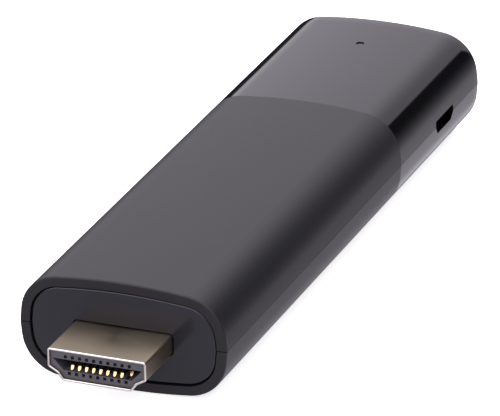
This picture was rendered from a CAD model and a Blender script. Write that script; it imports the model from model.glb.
"""Looks of a streaming media stick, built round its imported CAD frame.

The stick lies on its lower shell: +Y runs from the HDMI plug to the closed, glossy tail,
+Z is up and +X is the side with the micro-USB socket. Sizes are in metres, given as
millimetres times MM.
"""

from __future__ import annotations

import logging
import math
from dataclasses import dataclass, field
from enum import Enum
from typing import Iterable, Sequence

import bmesh
import bpy
from mathutils import Matrix, Vector

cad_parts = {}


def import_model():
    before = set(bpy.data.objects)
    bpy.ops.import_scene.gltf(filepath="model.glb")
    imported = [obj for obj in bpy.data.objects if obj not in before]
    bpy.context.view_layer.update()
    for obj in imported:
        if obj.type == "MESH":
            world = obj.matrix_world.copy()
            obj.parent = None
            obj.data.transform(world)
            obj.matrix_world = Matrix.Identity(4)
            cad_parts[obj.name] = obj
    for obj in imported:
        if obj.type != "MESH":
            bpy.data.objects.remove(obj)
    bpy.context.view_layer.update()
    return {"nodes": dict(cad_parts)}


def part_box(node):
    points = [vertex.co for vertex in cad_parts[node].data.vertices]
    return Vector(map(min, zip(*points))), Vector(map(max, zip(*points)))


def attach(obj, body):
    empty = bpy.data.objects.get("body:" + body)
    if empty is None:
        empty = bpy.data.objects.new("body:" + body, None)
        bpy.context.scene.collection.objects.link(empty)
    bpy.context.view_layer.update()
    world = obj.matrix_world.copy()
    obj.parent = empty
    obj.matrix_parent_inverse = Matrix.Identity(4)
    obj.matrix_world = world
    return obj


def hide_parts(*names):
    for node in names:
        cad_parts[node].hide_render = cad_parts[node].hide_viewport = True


LOG = logging.getLogger("media_stick")
MM = 0.001
BODY = "root"
WELD = 0.0005 * MM  # points closer than this are one
NEAR = 0.001 * MM  # slack when edges are picked by place
SQUARE = 0.1  # faces whose normals' dot product is below this meet at a right angle

# The sRGB curve: a straight foot below the knee, a power above it.
SRGB_KNEE = 0.04045
SRGB_SLOPE = 12.92
SRGB_OFFSET = 0.055
SRGB_POWER = 2.4

# The noise behind each finish: fine grain, broad mottling, and the part of the noise's
# range that roughness follows.
GRAIN_DETAIL = 3.0
GRAIN_ROUGHNESS = 0.6
MOTTLING_DETAIL = 2.0
NOISE_LOW = 0.3
NOISE_HIGH = 0.7


class Side(Enum):
    """The two halves of the casing, above and below the parting plane."""

    UPPER = "upper"
    LOWER = "lower"


# ------------------------------------------------------------------ material tools
def linear(code: str) -> tuple[float, float, float, float]:
    """Turns an sRGB hex colour into a linear one.

    Args:
        code: Six hex digits, such as "2b2a2d".

    Returns:
        Linear red, green and blue, and an alpha of one.
    """
    parts = [int(code[i : i + 2], 16) / 255 for i in (0, 2, 4)]
    red, green, blue = (
        c / SRGB_SLOPE
        if c <= SRGB_KNEE
        else ((c + SRGB_OFFSET) / (1 + SRGB_OFFSET)) ** SRGB_POWER
        for c in parts
    )
    return (red, green, blue, 1.0)


def add_node(
    tree: bpy.types.NodeTree,
    kind: str,
    settings: dict[str, object] | None = None,
    values: dict[str | int, object] | None = None,
    links: dict[str | int, bpy.types.NodeSocket] | None = None,
) -> bpy.types.Node:
    """Adds one node with its settings, socket values and incoming links.

    Args:
        tree: The node tree that takes the node.
        kind: The node's type, such as "ShaderNodeTexNoise".
        settings: Attributes of the node itself.
        values: Constants for input sockets, by socket name or number.
        links: Output sockets to join to input sockets, by socket name or number.

    Returns:
        The new node.
    """
    node = tree.nodes.new(kind)
    for name, value in (settings or {}).items():
        setattr(node, name, value)
    for name, value in (values or {}).items():
        node.inputs[name].default_value = value
    for name, socket in (links or {}).items():
        tree.links.new(socket, node.inputs[name])
    return node


@dataclass(frozen=True)
class Finish:
    """A real material: its colours, its gloss, and the grain its making leaves.

    The grain is noise on Object coordinates. Its size is the distance between features,
    and its relief the height that the bump stands for.
    """

    name: str
    colour: str
    second: str
    roughness: float
    rough_spread: float = 0.0
    metallic: float = 0.0
    ior: float = 1.5
    specular: float = 0.5
    coat: float = 0.0
    coat_roughness: float = 0.03
    grain: float = 0.2 * MM
    relief: float = 0.0
    stretch: tuple[float, float, float] = (1.0, 1.0, 1.0)
    mottling: float = 6 * MM
    anisotropic: float = 0.0

    def build(self) -> bpy.types.Material:
        """Makes the node material.

        Returns:
            The material, named for what it is.
        """
        material = bpy.data.materials.new(self.name)
        material.use_nodes = True
        tree = material.node_tree
        tree.nodes.clear()
        place = add_node(tree, "ShaderNodeTexCoord").outputs["Object"]
        turned = add_node(
            tree,
            "ShaderNodeMapping",
            values={"Scale": self.stretch},
            links={"Vector": place},
        ).outputs["Vector"]
        grain = add_node(
            tree,
            "ShaderNodeTexNoise",
            values={
                "Scale": 1 / self.grain,
                "Detail": GRAIN_DETAIL,
                "Roughness": GRAIN_ROUGHNESS,
            },
            links={"Vector": turned},
        ).outputs["Fac"]
        cloud = add_node(
            tree,
            "ShaderNodeTexNoise",
            values={"Scale": 1 / self.mottling, "Detail": MOTTLING_DETAIL},
            links={"Vector": place},
        ).outputs["Fac"]
        tint = add_node(
            tree,
            "ShaderNodeMix",
            {"data_type": "RGBA"},
            {6: linear(self.colour), 7: linear(self.second)},  # its two colour sockets
            {0: cloud},
        )
        shader = add_node(
            tree,
            "ShaderNodeBsdfPrincipled",
            values={
                "Metallic": self.metallic,
                "Roughness": self.roughness,
                "IOR": self.ior,
                "Specular IOR Level": self.specular,
                "Coat Weight": self.coat,
                "Coat Roughness": self.coat_roughness,
                "Anisotropic": self.anisotropic,
            },
            links={"Base Color": tint.outputs[2]},  # its colour result
        )
        if self.rough_spread:
            ramp = add_node(
                tree,
                "ShaderNodeMapRange",
                values={
                    "From Min": NOISE_LOW,
                    "From Max": NOISE_HIGH,
                    "To Min": self.roughness - self.rough_spread,
                    "To Max": self.roughness + self.rough_spread,
                },
                links={"Value": grain},
            )
            tree.links.new(ramp.outputs["Result"], shader.inputs["Roughness"])
        if self.relief:
            bump = add_node(
                tree,
                "ShaderNodeBump",
                values={"Strength": 1.0, "Distance": self.relief},
                links={"Height": grain},
            )
            tree.links.new(bump.outputs["Normal"], shader.inputs["Normal"])
        output = add_node(tree, "ShaderNodeOutputMaterial")
        tree.links.new(shader.outputs["BSDF"], output.inputs["Surface"])
        return material


# Spark-eroded ABS: an etched mould leaves a fine even grain that turns highlights into a
# broad soft sheen. The real grain is about 0.06 mm; it is drawn at 0.16 mm to show.
ETCHED_ABS = Finish(
    name="etched_abs_charcoal",
    colour="151417",
    second="18171a",
    roughness=0.42,
    specular=0.35,
    rough_spread=0.03,
    ior=1.53,
    grain=0.16 * MM,
    relief=0.006 * MM,
    mottling=9 * MM,
)
# Polished ABS from a mirror-finished mould: almost black, with clear reflections.
POLISHED_ABS = Finish(
    name="polished_abs_black",
    colour="060607",
    second="08080a",
    roughness=0.035,
    ior=1.53,
    grain=3 * MM,
    mottling=12 * MM,
)
# Satin ABS of the end plate: smooth enough to mirror the plug as a blur.
SATIN_ABS = Finish(
    name="satin_abs_grey",
    colour="17181d",
    second="1a1b20",
    roughness=0.16,
    rough_spread=0.02,
    ior=1.53,
    grain=0.25 * MM,
    relief=0.0008 * MM,
)
# Nickel over drawn steel: warm grey, with a faint draw along the plug.
NICKEL = Finish(
    name="nickel_plated_steel",
    colour="897e6f",
    second="807566",
    roughness=0.43,
    rough_spread=0.05,
    metallic=1.0,
    grain=0.12 * MM,
    relief=0.0006 * MM,
    stretch=(1.0, 0.12, 1.0),
    anisotropic=0.3,
)
# The sheet's sheared and rolled edge at the nose: bare, bright metal.
SHEARED_EDGE = Finish(
    name="sheared_bright_nickel",
    colour="f4efe8",
    second="ebe5dc",
    roughness=0.3,
    rough_spread=0.04,
    metallic=1.0,
    grain=0.08 * MM,
    relief=0.0005 * MM,
)
SOCKET_NICKEL = Finish(
    name="nickel_plated_brass",
    colour="b9b4aa",
    second="a8a296",
    roughness=0.28,
    rough_spread=0.05,
    metallic=1.0,
    grain=0.1 * MM,
    relief=0.0005 * MM,
)
# Glass-filled nylon of the connectors: dry, slightly mottled, dark.
NYLON = Finish(
    name="glass_filled_nylon",
    colour="3d3b40",
    second="434146",
    roughness=0.5,
    rough_spread=0.06,
    grain=0.15 * MM,
    relief=0.004 * MM,
    mottling=2 * MM,
)
# Hard gold over nickel on the sprung contacts.
GOLD = Finish(
    name="gold_plated_bronze",
    colour="f3d79b",
    second="ebc983",
    roughness=0.22,
    rough_spread=0.04,
    metallic=1.0,
    grain=0.08 * MM,
    relief=0.0005 * MM,
    mottling=1 * MM,
)
# Solder mask over glass cloth: a smooth green lacquer with the weave just telling.
SOLDER_MASK = Finish(
    name="solder_mask_green",
    colour="0f4a2a",
    second="145632",
    roughness=0.3,
    rough_spread=0.06,
    grain=0.45 * MM,
    relief=0.01 * MM,
    coat=0.4,
    coat_roughness=0.12,
)
# Epoxy moulding compound of the chips: matt, faintly sandy.
CHIP_EPOXY = Finish(
    name="epoxy_moulding_compound",
    colour="222224",
    second="29292b",
    roughness=0.55,
    rough_spread=0.05,
    grain=0.08 * MM,
    relief=0.004 * MM,
)
CRYSTAL_LID = Finish(
    name="kovar_lid",
    colour="cfccc4",
    second="c2beb4",
    roughness=0.3,
    rough_spread=0.05,
    metallic=1.0,
    grain=0.06 * MM,
    relief=0.0005 * MM,
)
FERRITE = Finish(
    name="pressed_ferrite",
    colour="3a3a3d",
    second="434347",
    roughness=0.65,
    rough_spread=0.08,
    grain=0.1 * MM,
    relief=0.008 * MM,
)
CERAMIC = Finish(
    name="barium_titanate_ceramic",
    colour="9a7550",
    second="a88159",
    roughness=0.45,
    rough_spread=0.05,
    grain=0.06 * MM,
    relief=0.003 * MM,
)
LED_PACKAGE = Finish(
    name="white_led_resin",
    colour="ece9df",
    second="f4f2ea",
    roughness=0.4,
    rough_spread=0.05,
    grain=0.08 * MM,
    relief=0.002 * MM,
)
# Smoked acrylic: clear enough to pass the light, dark when it is off.
SMOKED_ACRYLIC = Finish(
    name="smoked_acrylic",
    colour="0b0b0d",
    second="101013",
    roughness=0.12,
    rough_spread=0.02,
    ior=1.49,
    grain=0.2 * MM,
    relief=0.0005 * MM,
)
TINPLATE = Finish(
    name="tin_plated_steel",
    colour="c9c9c4",
    second="bcbcb6",
    roughness=0.34,
    rough_spread=0.06,
    metallic=1.0,
    grain=0.2 * MM,
    relief=0.002 * MM,
    stretch=(0.15, 1.0, 1.0),
    anisotropic=0.4,
)
THERMAL_PAD = Finish(
    name="filled_silicone_pad",
    colour="7d8aa0",
    second="8794a8",
    roughness=0.75,
    rough_spread=0.06,
    grain=0.3 * MM,
    relief=0.02 * MM,
)
ALUMINIUM = Finish(
    name="rolled_aluminium",
    colour="c7c9cb",
    second="bdbfc2",
    roughness=0.36,
    rough_spread=0.07,
    metallic=1.0,
    grain=0.15 * MM,
    relief=0.002 * MM,
    stretch=(1.0, 0.06, 1.0),
    anisotropic=0.5,
)
AERIAL_COPPER = Finish(
    name="plated_copper_alloy",
    colour="cdb184",
    second="c2a475",
    roughness=0.3,
    rough_spread=0.05,
    metallic=1.0,
    grain=0.1 * MM,
    relief=0.001 * MM,
)
ZINC_STEEL = Finish(
    name="zinc_plated_steel",
    colour="a9adb2",
    second="9a9fa6",
    roughness=0.38,
    rough_spread=0.08,
    metallic=1.0,
    grain=0.1 * MM,
    relief=0.002 * MM,
)


class Paints:
    """Builds each finish once and hands out its material."""

    def __init__(self) -> None:
        """Starts with no material built."""
        self.made: dict[str, bpy.types.Material] = {}

    def get(self, finish: Finish) -> bpy.types.Material:
        """Gives a finish's material, building it on first use.

        Args:
            finish: The finish to build.

        Returns:
            Its material.
        """
        if finish.name not in self.made:
            self.made[finish.name] = finish.build()
        return self.made[finish.name]


# ------------------------------------------------------------------ mesh tools
def spin_arc(
    bm: bmesh.types.BMesh, start: bmesh.types.BMVert, centre: Vector, angle: float, steps: int
) -> bmesh.types.BMVert:
    """Draws an arc across the stick by spinning its last vertex.

    Args:
        bm: The mesh being drawn.
        start: The vertex that the arc leaves from.
        centre: The arc's centre.
        angle: How far it turns, from +X towards +Z.
        steps: How many edges it has.

    Returns:
        The arc's last vertex.
    """
    made = bmesh.ops.spin(
        bm, geom=[start], cent=centre, axis=(0, -1, 0), angle=angle, steps=steps
    )
    return next(g for g in made["geom_last"] if isinstance(g, bmesh.types.BMVert))


def bridge_all(
    bm: bmesh.types.BMesh, chains: Sequence[list[bmesh.types.BMEdge]]
) -> None:
    """Skins each chain of edges to the next one.

    Args:
        bm: The mesh that holds the chains.
        chains: Chains with the same number of edges, in order.
    """
    for near, far in zip(chains, chains[1:]):
        bmesh.ops.bridge_loops(bm, edges=near + far)


def close_flat(bm: bmesh.types.BMesh, edges: Iterable[bmesh.types.BMEdge]) -> None:
    """Fills one flat outline with a face.

    Args:
        bm: The mesh that holds the outline.
        edges: The outline's edges.
    """
    bmesh.ops.contextual_create(bm, geom=list(edges))


def thicken(
    bm: bmesh.types.BMesh, faces: list[bmesh.types.BMFace], travel: Vector
) -> None:
    """Pushes flat faces along a line and leaves a closed solid.

    Args:
        bm: The mesh that holds the faces.
        faces: The faces to push.
        travel: How far and which way.
    """
    made = bmesh.ops.extrude_face_region(bm, geom=faces, use_keep_orig=True)
    moved = [g for g in made["geom"] if isinstance(g, bmesh.types.BMVert)]
    bmesh.ops.translate(bm, verts=moved, vec=travel)


def soften(
    bm: bmesh.types.BMesh, edges: list[bmesh.types.BMEdge], offset: float, steps: int
) -> None:
    """Chamfers or rounds edges.

    Args:
        bm: The mesh that holds them.
        edges: The edges.
        offset: How far the new faces reach from each edge.
        steps: One for a chamfer, more for a rounding.
    """
    bmesh.ops.bevel(
        bm,
        geom=edges,
        offset=offset,
        offset_type="OFFSET",
        affect="EDGES",
        segments=steps,
        profile=0.5,
        material=-1,
    )


def turn_over(
    bm: bmesh.types.BMesh, verts: Iterable[bmesh.types.BMVert], middle: float
) -> None:
    """Mirrors points through a level plane.

    Args:
        bm: The mesh that holds them.
        verts: The points.
        middle: The plane's height.
    """
    bmesh.ops.scale(
        bm, verts=list(verts), vec=(1, 1, -1), space=Matrix.Translation((0, 0, -middle))
    )


def bare_object(name: str, bm: bmesh.types.BMesh) -> bpy.types.Object:
    """Makes an object from a mesh and links it to the scene.

    Args:
        name: The object's name.
        bm: Its mesh, which is freed.

    Returns:
        The object, at the origin and with no material.
    """
    mesh = bpy.data.meshes.new(name)
    bm.to_mesh(mesh)
    bm.free()
    made = bpy.data.objects.new(name, mesh)
    bpy.context.scene.collection.objects.link(made)
    return made


@dataclass
class Workshop:
    """Turns finished bmeshes into pieces of the stick, and keeps count of them."""

    paints: Paints
    pieces: list[bpy.types.Object] = field(default_factory=list)

    def piece(
        self,
        name: str,
        bm: bmesh.types.BMesh,
        finish: Finish,
        slot: str,
        stands_for: Sequence[str] = (),
        crease: float = 28.0,
        cutters: Sequence[bpy.types.Object] = (),
    ) -> bpy.types.Object:
        """Makes an object from a bmesh, cuts it, dresses it and rides it on the frame.

        Args:
            name: The piece's name.
            bm: Its mesh, which is freed.
            finish: Its finish.
            slot: The record's material slot it belongs to.
            stands_for: CAD nodes that it replaces.
            crease: Edges sharper than this many degrees stay sharp.
            cutters: Closed objects whose shapes are taken out of it.

        Returns:
            The piece.
        """
        bmesh.ops.remove_doubles(bm, verts=bm.verts, dist=WELD)
        bmesh.ops.recalc_face_normals(bm, faces=bm.faces)
        piece = bare_object(name, bm)
        for cutter in cutters:
            cut = piece.modifiers.new("cut", "BOOLEAN")
            cut.operation = "DIFFERENCE"
            cut.solver = "EXACT"
            cut.object = cutter
        if cutters:
            bpy.context.view_layer.update()
            graph = bpy.context.evaluated_depsgraph_get()
            uncut = piece.data
            whole = bpy.data.meshes.new_from_object(piece.evaluated_get(graph))
            piece.modifiers.clear()
            piece.data = whole
            bpy.data.meshes.remove(uncut)
            whole.name = name
        piece.data.materials.clear()
        piece.data.materials.append(self.paints.get(finish))
        piece.data.shade_smooth()
        piece.data.set_sharp_from_angle(angle=math.radians(crease))
        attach(piece, BODY)
        if stands_for:
            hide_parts(*stands_for)
        self.pieces.append(piece)
        LOG.info("%s: %d faces", name, len(piece.data.polygons))
        return piece

    @staticmethod
    def cutter(name: str, bm: bmesh.types.BMesh) -> bpy.types.Object:
        """Makes a closed shape that is only used to cut others.

        Args:
            name: A working name.
            bm: Its mesh, which is freed.

        Returns:
            The cutting object, to be removed after use.
        """
        bmesh.ops.recalc_face_normals(bm, faces=bm.faces)
        return bare_object(name, bm)


# ------------------------------------------------------------------ the casing
@dataclass(frozen=True)
class Arc:
    """One arc of the casing's section, turning from +X towards +Z."""

    centre: Vector
    radius: float
    start: float
    end: float
    steps: int


@dataclass
class Section:
    """The casing's rounded section: a crown, a tight corner and a drafted side."""

    width: float = 29.4 * MM
    height: float = 15.4 * MM
    crown_radius: float = 82.0 * MM
    side_radius: float = 32.0 * MM
    corner_radius: float = 5.9 * MM
    draft: float = math.radians(3.3)
    crown_steps: int = 44
    corner_steps: int = 36
    side_steps: int = 14

    def arcs(self, inset: float) -> list[Arc]:
        """Works out the arcs of the upper half, from the +X foot over to the -X foot.

        Args:
            inset: How far the outline lies inside the outer skin.

        Returns:
            Five arcs; centres are across and up from the parting line.
        """
        crown = Vector((0, self.height / 2 - self.crown_radius))
        side = Vector(
            (
                self.width / 2 - self.side_radius * math.cos(self.draft),
                -self.side_radius * math.sin(self.draft),
            )
        )
        span = side - crown
        crown_reach = self.crown_radius - self.corner_radius
        side_reach = self.side_radius - self.corner_radius
        along = (span.length_squared + crown_reach**2 - side_reach**2) / (2 * span.length)
        unit = span.normalized()
        away = Vector((unit.y, -unit.x)) * math.sqrt(crown_reach**2 - along**2)
        corner = crown + unit * along + away
        foot = math.asin(-side.y / (self.side_radius - inset))
        flank = math.atan2(corner.y - side.y, corner.x - side.x)
        brow = math.atan2(corner.y - crown.y, corner.x - crown.x)
        flat = math.pi
        right = [
            Arc(side, self.side_radius - inset, foot, flank, self.side_steps),
            Arc(corner, self.corner_radius - inset, flank, brow, self.corner_steps),
        ]
        top = Arc(crown, self.crown_radius - inset, brow, flat - brow, self.crown_steps)
        left = [
            Arc(
                Vector((-arc.centre.x, arc.centre.y)),
                arc.radius,
                flat - arc.end,
                flat - arc.start,
                arc.steps,
            )
            for arc in reversed(right)
        ]
        return [*right, top, *left]

    def chain(
        self, bm: bmesh.types.BMesh, inset: float, along: float, middle: float
    ) -> list[bmesh.types.BMEdge]:
        """Draws the upper half's outline across the stick.

        Args:
            bm: The mesh that takes it.
            inset: How far it lies inside the outer skin.
            along: Its place along Y.
            middle: The parting plane's height.

        Returns:
            The outline's edges.
        """
        before = set(bm.edges)
        arcs = self.arcs(inset)
        first = arcs[0]
        tip = bm.verts.new(
            (
                first.centre.x + first.radius * math.cos(first.start),
                along,
                middle + first.centre.y + first.radius * math.sin(first.start),
            )
        )
        for arc in arcs:
            centre = Vector((arc.centre.x, along, middle + arc.centre.y))
            tip = spin_arc(bm, tip, centre, arc.end - arc.start, arc.steps)
        return [e for e in bm.edges if e not in before]


# Corners down the right side of each connector's outline, across and up from its centre,
# and how far they are rounded.
HDMI_CORNERS = (
    (6.95 * MM, 2.225 * MM),
    (6.95 * MM, -0.425 * MM),
    (5.55 * MM, -1.225 * MM),
    (4.85 * MM, -2.225 * MM),
)
HDMI_ROUNDING = 0.4 * MM
MICRO_USB_CORNERS = (
    (3.475 * MM, 0.925 * MM),
    (3.475 * MM, 0.075 * MM),
    (2.7 * MM, -0.925 * MM),
)
MICRO_USB_ROUNDING = 0.3 * MM


@dataclass
class Outline:
    """A connector's keyed outline, from the corners down its right side."""

    right_side: tuple[tuple[float, float], ...]
    corner: float
    steps: int = 6

    def spots(self, growth: float) -> list[tuple[Vector, float]]:
        """Works out the grown outline's corners, clockwise from the top right.

        Args:
            growth: How far it is grown all round.

        Returns:
            Pairs of a corner and how far its rounding reaches along the edges.
        """
        right = [Vector(spot) for spot in self.right_side]
        ring = right + [Vector((-spot.x, spot.y)) for spot in reversed(right)]
        made = []
        for before, here, after in zip(ring[-1:] + ring[:-1], ring, ring[1:] + ring[:1]):
            arrive = (here - before).normalized()
            leave = (after - here).normalized()
            out = Vector((-arrive.y - leave.y, arrive.x + leave.x))
            hollow = 1 if arrive.x * leave.y - arrive.y * leave.x < 0 else -1
            turn = arrive.angle(leave)
            reach = (self.corner + hollow * growth) * math.tan(turn / 2)
            made.append((here + out * growth / (1 + arrive.dot(leave)), reach))
        return made

    def face(
        self, bm: bmesh.types.BMesh, place: Matrix, growth: float = 0.0
    ) -> bmesh.types.BMFace:
        """Draws the outline as one face with rounded corners.

        Args:
            bm: The mesh that takes it.
            place: Turns across and up into the stick's frame.
            growth: How far it is grown all round.

        Returns:
            The face.
        """
        spots = self.spots(growth)
        others = set(bm.faces)
        corners = [bm.verts.new(place @ spot.to_3d()) for spot, reach in spots]
        bmesh.ops.contextual_create(bm, geom=corners)
        for corner, (spot, reach) in zip(corners, spots):
            bmesh.ops.bevel(
                bm,
                geom=[corner],
                offset=reach,
                offset_type="OFFSET",
                affect="VERTICES",
                segments=self.steps,
                profile=0.5,
                material=-1,
            )
        return next(f for f in bm.faces if f not in others)


@dataclass
class Casing:
    """The four mouldings and the end plate, smooth enough for clear reflections."""

    shop: Workshop
    front: float
    seam: float
    end: float
    port_along: float
    light_along: float
    section: Section = field(default_factory=Section)
    middle: float = 7.7 * MM
    wall: float = 1.4 * MM
    front_fillet: float = 0.25 * MM
    tail_fillet: float = 1.0 * MM
    tail_ring_spacing: float = 2.0 * MM
    seam_chamfer: float = 0.03 * MM
    nick_width: float = 0.12 * MM
    nick_depth: float = 0.35 * MM
    joint_chamfer: float = 0.05 * MM
    stop_depth: float = 1.8 * MM
    stop_width: float = 0.8 * MM
    stop_length: float = 1.0 * MM
    fillet_steps: int = 7
    plate_recess: float = 0.2 * MM
    plate_thickness: float = 1.6 * MM
    plate_gap: float = 0.18 * MM
    plate_fillet: float = 0.25 * MM
    plate_fillet_steps: int = 5
    plug_gap: float = 0.19 * MM
    plug_cut_lead: float = 2.0 * MM
    plug_cut_length: float = 6.0 * MM
    port_drop: float = 0.2 * MM
    port_growth: float = 0.12 * MM
    port_cut_start: float = 1.0 * MM  # inside the wall
    port_cut_length: float = 4.0 * MM
    light_diameter: float = 1.2 * MM
    light_steps: int = 48
    light_cut_length: float = 6.0 * MM

    def fillet_rings(self, edge: float, radius: float, away: int) -> list[tuple[float, float]]:
        """Lists insets and places of the rings that round an end.

        Args:
            edge: The end's place along Y.
            radius: The fillet's radius.
            away: One if the end faces +Y, minus one if it faces -Y.

        Returns:
            Pairs of inset and place, from the skin to the end face.
        """
        rings = []
        for step in range(self.fillet_steps + 1):
            turn = math.pi / 2 * step / self.fillet_steps
            inset = radius * (1 - math.cos(turn))
            rings.append((inset, edge - away * radius * (1 - math.sin(turn))))
        return rings

    def front_half(self, side: Side) -> bmesh.types.BMesh:
        """Skins a matte half from its outer rings round to its inner ones.

        Args:
            side: Which half it is.

        Returns:
            A closed mesh.
        """
        bm = bmesh.new()
        chains = [
            self.section.chain(bm, inset, y, self.middle) for inset, y in self.front_rings()
        ]
        bridge_all(bm, chains + [chains[0]])
        bmesh.ops.holes_fill(bm, edges=[e for e in bm.edges if e.is_boundary], sides=0)
        return self.finish_half(bm, side)

    def finish_half(self, bm: bmesh.types.BMesh, side: Side) -> bmesh.types.BMesh:
        """Chamfers a half's parting edges and turns a lower half over.

        Args:
            bm: The half, drawn as an upper one.
            side: Which half it is.

        Returns:
            The same mesh.
        """
        bmesh.ops.recalc_face_normals(bm, faces=bm.faces)
        self.chamfer_foot(bm)
        if side is Side.LOWER:
            turn_over(bm, bm.verts, self.middle)
        return bm

    @staticmethod
    def close_foot(
        bm: bmesh.types.BMesh, chain: list[bmesh.types.BMEdge]
    ) -> bmesh.types.BMEdge:
        """Joins a chain's two loose ends with an edge along the parting plane.

        Args:
            bm: The mesh that holds the chain.
            chain: The chain's edges.

        Returns:
            The new edge.
        """
        own = set(chain)
        ends = [
            v
            for v in {v for e in chain for v in e.verts}
            if sum(e in own for e in v.link_edges) == 1
        ]
        return bm.edges.new(ends)

    def chamfer_foot(self, bm: bmesh.types.BMesh) -> None:
        """Breaks the outer edges along the parting line and across the front rim.

        Args:
            bm: A half moulding that stands on the parting plane.
        """
        skin = self.section.width / 2 - NEAR
        rim = self.front + self.front_fillet + NEAR
        edges = [
            e
            for e in bm.edges
            if all(abs(v.co.z - self.middle) < NEAR for v in e.verts)
            and all(abs(v.co.x) > skin or v.co.y < rim for v in e.verts)
            and e.verts[0].co.x * e.verts[1].co.x > 0
        ]
        soften(bm, edges, self.seam_chamfer, 1)

    def front_rings(self) -> list[tuple[float, float]]:
        """Lists the rings of a matte half, round the rim and over the plate's stop.

        Returns:
            Pairs of inset and place, from the seam outside to the seam inside.
        """
        stop = self.front + self.stop_depth
        ledge = self.wall + self.stop_width
        outer = [(0.0, self.seam)]
        outer += self.fillet_rings(self.front, self.front_fillet, -1)
        inner = [
            (self.wall, self.front),
            (self.wall, stop),
            (ledge, stop),
            (ledge, stop + self.stop_length),
            (self.wall, stop + self.stop_length),
            (self.wall, self.seam),
        ]
        return outer + inner

    def tail_rings(self) -> list[tuple[float, float]]:
        """Lists the rings of a glossy half, out over the closed end and back inside.

        Returns:
            Pairs of inset and place; the last two are the inner ones.
        """
        skin = [
            (self.joint_chamfer, self.seam),
            (0.0, self.seam + self.joint_chamfer),
        ]
        at = self.seam + self.tail_ring_spacing
        while at < self.end - self.tail_fillet - self.tail_ring_spacing / 2:
            skin.append((0.0, at))
            at += self.tail_ring_spacing
        skin += self.fillet_rings(self.end, self.tail_fillet, 1)
        return skin + [(self.wall, self.end - self.wall), (self.wall, self.seam)]

    def tail_half(self, side: Side) -> bmesh.types.BMesh:
        """Skins a glossy half: skin, fillet and end face outside, wall and end inside.

        Args:
            side: Which half it is.

        Returns:
            A closed mesh.
        """
        bm = bmesh.new()
        rings = self.tail_rings()
        outer = [self.section.chain(bm, i, y, self.middle) for i, y in rings[:-2]]
        inner = [self.section.chain(bm, i, y, self.middle) for i, y in rings[-2:]]
        bridge_all(bm, outer)
        bridge_all(bm, inner)
        bridge_all(bm, [inner[-1], outer[0]])
        for chain in (outer[-1], inner[0]):
            close_flat(bm, chain + [self.close_foot(bm, chain)])
        close_flat(bm, [e for e in bm.edges if e.is_boundary])
        return self.finish_half(bm, side)

    def window_cutter(self, port: Outline) -> bpy.types.Object:
        """Makes the shape that opens the side wall for the micro-USB plug.

        Args:
            port: The mouth's outline.

        Returns:
            A closed prism through the +X wall.
        """
        bm = bmesh.new()
        start = self.section.width / 2 - self.wall - self.port_cut_start
        place = Matrix(
            (
                (0, 0, 1, start),
                (1, 0, 0, self.port_along),
                (0, 1, 0, self.middle - self.port_drop),
                (0, 0, 0, 1),
            )
        )
        face = port.face(bm, place, self.port_growth)
        thicken(bm, [face], Vector((self.port_cut_length, 0, 0)))
        return Workshop.cutter("window", bm)

    def nick_cutter(self) -> bpy.types.Object:
        """Makes the thin bar that opens the parting line across the front rim.

        Returns:
            A closed bar.
        """
        bm = bmesh.new()
        size = Vector((2 * self.section.width, 2 * self.nick_depth, self.nick_width))
        bmesh.ops.create_cube(
            bm,
            size=1.0,
            matrix=Matrix.Translation((0, self.front, self.middle))
            @ Matrix.Diagonal(size.to_4d()),
        )
        return Workshop.cutter("rim_nick", bm)

    def light_cutter(self) -> bpy.types.Object:
        """Makes the shape that opens the top for the status light.

        Returns:
            A closed upright rod.
        """
        bm = bmesh.new()
        bmesh.ops.create_cone(
            bm,
            cap_ends=True,
            segments=self.light_steps,
            radius1=self.light_diameter / 2,
            radius2=self.light_diameter / 2,
            depth=self.light_cut_length,
            matrix=Matrix.Translation((0, self.light_along, self.section.height)),
        )
        return Workshop.cutter("light_hole", bm)

    def build_plate(self, plug: Outline, place: Matrix) -> None:
        """Builds the flat plate that closes the front round the plug.

        Args:
            plug: The plug's outline.
            place: Where that outline lies at the front rim.
        """
        bm = bmesh.new()
        inset = self.wall + self.plate_gap
        at = self.front + self.plate_recess
        upper = self.section.chain(bm, inset, at, self.middle)
        close_flat(bm, upper + [self.close_foot(bm, upper)])
        made = bmesh.ops.duplicate(bm, geom=bm.verts[:] + bm.edges[:] + bm.faces[:])
        copied = [g for g in made["geom"] if isinstance(g, bmesh.types.BMVert)]
        turn_over(bm, copied, self.middle)
        bmesh.ops.remove_doubles(bm, verts=bm.verts, dist=WELD)
        bmesh.ops.dissolve_faces(bm, faces=bm.faces[:])
        rim = [e for e in bm.edges if e.is_boundary]
        thicken(bm, bm.faces[:], Vector((0, self.plate_thickness, 0)))
        soften(bm, rim, self.plate_fillet, self.plate_fillet_steps)
        hole = bmesh.new()
        lead = Matrix.Translation((0, -self.plug_cut_lead, 0)) @ place
        face = plug.face(hole, lead, self.plug_gap)
        thicken(hole, [face], Vector((0, self.plug_cut_length, 0)))
        cutter = Workshop.cutter("plug_hole", hole)
        self.shop.piece(
            "end_plate_moulding",
            bm,
            SATIN_ABS,
            "end_plate",
            ["end_plate"],
            cutters=[cutter],
        )
        bpy.data.objects.remove(cutter)

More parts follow.
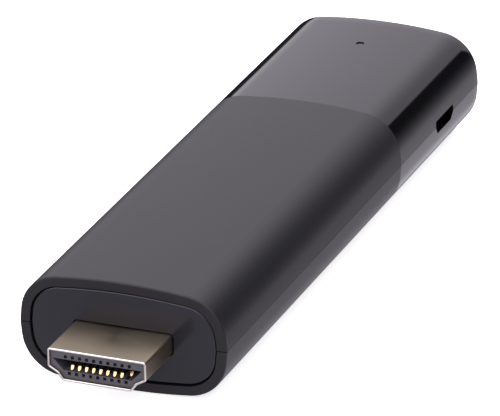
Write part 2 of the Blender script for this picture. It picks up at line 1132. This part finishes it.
    def build(self, plug: Outline, port: Outline, plug_place: Matrix) -> None:
        """Builds the mouldings and the end plate.

        Args:
            plug: The HDMI plug's outline.
            port: The micro-USB mouth's outline.
            plug_place: Where the plug's outline lies at the front rim.
        """
        window = self.window_cutter(port)
        light = self.light_cutter()
        nick = self.nick_cutter()
        for side, shell, tail in (
            (Side.UPPER, "upper_shell", "upper_tail_cover"),
            (Side.LOWER, "lower_shell", "lower_tail_cover"),
        ):
            self.shop.piece(
                f"{shell}_moulding",
                self.front_half(side),
                ETCHED_ABS,
                "matte_case",
                [shell],
                cutters=[nick],
            )
            cuts = [window, light] if side is Side.UPPER else [window]
            self.shop.piece(
                f"{tail}_moulding",
                self.tail_half(side),
                POLISHED_ABS,
                "gloss_case",
                [tail],
                cutters=cuts,
            )
        self.build_plate(plug, plug_place)
        for cutter in (window, light, nick):
            bpy.data.objects.remove(cutter)


# ------------------------------------------------------------------ the HDMI plug
@dataclass
class HdmiPlug:
    """The plug's drawn shell, smooth and with its nose edge broken."""

    shop: Workshop
    nose: float
    plate_back: float
    outline: Outline = field(default_factory=lambda: Outline(HDMI_CORNERS, HDMI_ROUNDING))
    centre_height: float = 6.65 * MM
    sheet: float = 0.3 * MM
    edge: float = 0.12 * MM
    edge_steps: int = 4
    run_on: float = 2.0 * MM  # behind the end plate

    def place(self, along: float) -> Matrix:
        """Gives the plane across the stick that the plug's outline lies in.

        Args:
            along: The plane's place along Y.

        Returns:
            A matrix from across and up to the stick's frame.
        """
        return Matrix(
            (
                (1, 0, 0, 0),
                (0, 0, -1, along),
                (0, 1, 0, self.centre_height),
                (0, 0, 0, 1),
            )
        )

    def build(self) -> None:
        """Builds the shell as a tube with rounded nose edges."""
        bm = bmesh.new()
        face = self.outline.face(bm, self.place(self.nose))
        bmesh.ops.inset_region(
            bm, faces=[face], thickness=self.sheet, use_boundary=True, use_even_offset=True
        )
        bm.faces.remove(face)
        nose = bm.edges[:]
        rear = self.plate_back + self.run_on
        thicken(bm, bm.faces[:], Vector((0, rear - self.nose, 0)))
        lip = [
            e
            for e in nose
            if e.is_valid
            and len(e.link_faces) == 2
            and abs(e.link_faces[0].normal.dot(e.link_faces[1].normal)) < SQUARE
        ]
        soften(bm, lip, self.edge, self.edge_steps)
        shell = self.shop.piece(
            "plug_shell_drawn", bm, NICKEL, "plug_nickel", ["plug_shell"]
        )
        shell.data.materials.append(self.shop.paints.get(SHEARED_EDGE))
        for face in shell.data.polygons:
            if face.center.y < self.nose + self.edge:
                face.material_index = 1


# ------------------------------------------------------------------ parts kept from the frame
@dataclass
class KeptParts:
    """Frame parts whose own shape is right: connectors' insides and the electronics."""

    paints: Paints
    finishes: dict[str, Finish] = field(
        default_factory=lambda: {
            "plug_insulator": NYLON,
            "plug_upper_contacts": GOLD,
            "plug_lower_contacts": GOLD,
            "usb_shell": SOCKET_NICKEL,
            "usb_insulator": NYLON,
            "usb_contacts": GOLD,
            "main_board": SOLDER_MASK,
            "processor": CHIP_EPOXY,
            "memory_chip": CHIP_EPOXY,
            "storage_chip": CHIP_EPOXY,
            "radio_chip": CHIP_EPOXY,
            "power_chip": CHIP_EPOXY,
            "surge_chips": CHIP_EPOXY,
            "crystal": CRYSTAL_LID,
            "inductors": FERRITE,
            "capacitors": CERAMIC,
            "status_led": LED_PACKAGE,
            "light_pipe": SMOKED_ACRYLIC,
            "main_shield_frame": TINPLATE,
            "main_shield_lid": TINPLATE,
            "radio_shield_frame": TINPLATE,
            "radio_shield_lid": TINPLATE,
            "processor_pad": THERMAL_PAD,
            "upper_pad": THERMAL_PAD,
            "lower_pad": THERMAL_PAD,
            "upper_spreader": ALUMINIUM,
            "lower_spreader": ALUMINIUM,
            "aerials": AERIAL_COPPER,
            "board_screws": ZINC_STEEL,
            "upper_shell": ETCHED_ABS,
            "lower_shell": ETCHED_ABS,
            "upper_tail_cover": POLISHED_ABS,
            "lower_tail_cover": POLISHED_ABS,
            "end_plate": SATIN_ABS,
            "plug_shell": NICKEL,
        }
    )

    def dress(self, nodes: dict[str, bpy.types.Object]) -> None:
        """Gives every node of the frame its finish.

        Args:
            nodes: The frame's nodes, by name.
        """
        for name, node in nodes.items():
            material = self.paints.get(self.finishes[name])
            for slot in node.material_slots:
                slot.material = material
            if not node.material_slots:
                node.data.materials.append(material)
            LOG.info("%s: %s", name, material.name)


# ------------------------------------------------------------------ studio
@dataclass(frozen=True)
class Panel:
    """A soft-edged bright part of the room, in degrees.

    Its middle is a bearing from +Y towards +X; low and high are heights above the horizon.
    Each softness is the width of the fade at an edge, centred on that edge.
    """

    middle: float
    half_width: float
    low: float
    high: float
    glow: float
    left_softness: float = 20.0
    right_softness: float = 20.0
    low_softness: float = 14.0
    high_softness: float = 20.0

    def build(
        self, tree: bpy.types.NodeTree, looking: bpy.types.NodeSocket
    ) -> bpy.types.NodeSocket:
        """Makes the nodes that give the panel's brightness in a direction.

        Args:
            tree: The room's node tree.
            looking: The direction.

        Returns:
            The brightness.
        """
        turned = add_node(
            tree,
            "ShaderNodeVectorRotate",
            {"rotation_type": "Z_AXIS"},
            {"Angle": math.radians(self.middle)},
            {"Vector": looking},
        )
        parts = add_node(
            tree, "ShaderNodeSeparateXYZ", links={"Vector": turned.outputs["Vector"]}
        )
        bearing = add_node(
            tree,
            "ShaderNodeMath",
            {"operation": "ARCTAN2"},
            links={0: parts.outputs["X"], 1: parts.outputs["Y"]},
        ).outputs["Value"]
        height = add_node(
            tree, "ShaderNodeMath", {"operation": "ARCSINE"}, links={0: parts.outputs["Z"]}
        ).outputs["Value"]
        level = None
        for angle, edge, softness, inward in (
            (bearing, -self.half_width, self.left_softness, 1),
            (bearing, self.half_width, self.right_softness, -1),
            (height, self.low, self.low_softness, 1),
            (height, self.high, self.high_softness, -1),
        ):
            fade = add_node(
                tree,
                "ShaderNodeMapRange",
                {"interpolation_type": "SMOOTHSTEP"},
                {
                    "From Min": math.radians(edge - inward * softness / 2),
                    "From Max": math.radians(edge + inward * softness / 2),
                },
                {"Value": angle},
            ).outputs["Result"]
            if level is None:
                level = fade
            else:
                level = add_node(
                    tree, "ShaderNodeMath", {"operation": "MULTIPLY"}, links={0: level, 1: fade}
                ).outputs["Value"]
        return add_node(
            tree, "ShaderNodeMath", {"operation": "MULTIPLY"}, {1: self.glow}, {0: level}
        ).outputs["Value"]


@dataclass
class Studio:
    """A pale floor, a room of soft panels, one big soft light overhead and the camera."""

    lens: float = 399.87  # mm
    sensor: float = 36.0  # mm
    clip: tuple[float, float] = (0.01, 20.0)
    eye: Vector = field(default_factory=lambda: Vector((263.84, -647.82, 315.44)) * MM)
    ahead: Vector = field(default_factory=lambda: Vector((-0.34506, 0.84773, -0.40286)))
    above: Vector = field(default_factory=lambda: Vector((-0.13547, 0.37974, 0.91512)))
    floor_colour: str = "f4f4f4"
    floor_reach: float = 3.0
    floor_roughness: float = 0.9
    floor_specular: float = 0.2
    floor_glow: float = 0.8
    room_colour: str = "f8f2ff"
    room_glow: float = 0.03
    overhead_width: float = 2.6
    overhead_height: float = 1.3
    overhead_power: float = 30.0
    panels: tuple[Panel, ...] = (
        # The long softbox behind the stick: it draws the broad reflection on the top.
        Panel(
            middle=-28.0, half_width=51.0, low=3.0, high=62.0, glow=0.8,
            right_softness=2.5, low_softness=7.0,
        ),
        # Its brighter middle, towards the left.
        Panel(
            middle=-37.0, half_width=42.0, low=3.0, high=62.0, glow=0.45,
            right_softness=30.0, low_softness=7.0,
        ),
        # The softbox in front, which lights the end plate and the plug's nose.
        Panel(middle=-157.0, half_width=42.0, low=5.0, high=50.0, glow=2.6),
        # A weaker one on the right, seen from the sides only.
        Panel(middle=112.0, half_width=34.0, low=6.0, high=55.0, glow=0.9),
        # The pale floor, as the right side mirrors it.
        Panel(middle=85.0, half_width=95.0, low=-130.0, high=-15.0, glow=1.05, high_softness=50.0),
        # The dimmer floor in front, as the end plate mirrors it.
        Panel(middle=-140.0, half_width=42.0, low=-120.0, high=-4.0, glow=0.5, high_softness=24.0),
    )

    def build(self) -> None:
        """Builds the camera, the floor, the room and the light overhead."""
        self.build_camera()
        self.build_floor()
        self.build_room()
        self.build_overhead()

    def build_camera(self) -> None:
        """Places the camera and makes it the scene's own."""
        ahead = self.ahead.normalized()
        right = ahead.cross(self.above).normalized()
        up = right.cross(ahead)
        data = bpy.data.cameras.new("camera")
        data.lens = self.lens
        data.sensor_width = self.sensor
        data.clip_start, data.clip_end = self.clip
        camera = bpy.data.objects.new("camera", data)
        turn = Matrix((right, up, -ahead)).transposed().to_4x4()
        camera.matrix_world = Matrix.Translation(self.eye) @ turn
        bpy.context.scene.collection.objects.link(camera)
        bpy.context.scene.camera = camera

    def build_floor(self) -> None:
        """Lays a pale matt floor, lit from below like a light table."""
        bm = bmesh.new()
        bmesh.ops.create_grid(bm, x_segments=2, y_segments=2, size=self.floor_reach)
        floor = bare_object("floor", bm)
        material = bpy.data.materials.new("pale_paper_floor")
        material.use_nodes = True
        shader = material.node_tree.nodes["Principled BSDF"]
        shader.inputs["Base Color"].default_value = linear(self.floor_colour)
        shader.inputs["Roughness"].default_value = self.floor_roughness
        shader.inputs["Specular IOR Level"].default_value = self.floor_specular
        shader.inputs["Emission Color"].default_value = linear(self.floor_colour)
        shader.inputs["Emission Strength"].default_value = self.floor_glow
        floor.data.materials.append(material)
        floor.visible_glossy = False

    def build_room(self) -> None:
        """Surrounds the stick with a dim room and its bright panels."""
        world = bpy.data.worlds.new("room")
        bpy.context.scene.world = world
        world.use_nodes = True
        tree = world.node_tree
        looking = add_node(tree, "ShaderNodeTexCoord").outputs["Generated"]
        total = add_node(tree, "ShaderNodeValue").outputs["Value"]
        total.default_value = self.room_glow
        for panel in self.panels:
            total = add_node(
                tree,
                "ShaderNodeMath",
                {"operation": "ADD"},
                links={0: total, 1: panel.build(tree, looking)},
            ).outputs["Value"]
        back = tree.nodes["Background"]
        back.inputs["Color"].default_value = linear(self.room_colour)
        tree.links.new(total, back.inputs["Strength"])
        bpy.context.scene.view_settings.view_transform = "Standard"

    def build_overhead(self) -> None:
        """Hangs the large light that makes the floor white with hardly a shadow."""
        data = bpy.data.lights.new("overhead", "AREA")
        data.shape = "DISK"
        data.size = self.overhead_width
        data.energy = self.overhead_power
        light = bpy.data.objects.new("overhead", data)
        light.location = (0.0, 0.0, self.overhead_height)
        bpy.context.scene.collection.objects.link(light)


# ------------------------------------------------------------------ the whole
def main() -> None:
    """Builds the looks in order."""
    logging.basicConfig(level=logging.INFO, format="%(name)s: %(message)s")
    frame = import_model()
    paints = Paints()
    shop = Workshop(paints)
    KeptParts(paints).dress(frame["nodes"])
    shell_low, shell_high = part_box("upper_shell")
    plug = HdmiPlug(
        shop, nose=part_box("plug_shell")[0].y, plate_back=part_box("end_plate")[1].y
    )
    plug.build()
    casing = Casing(
        shop,
        front=shell_low.y,
        seam=shell_high.y,
        end=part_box("upper_tail_cover")[1].y,
        port_along=sum(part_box("usb_shell"), Vector()).y / 2,
        light_along=sum(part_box("light_pipe"), Vector()).y / 2,
    )
    port = Outline(MICRO_USB_CORNERS, MICRO_USB_ROUNDING)
    casing.build(plug.outline, port, plug.place(casing.front))
    Studio().build()


if __name__ == "__main__":
    main()
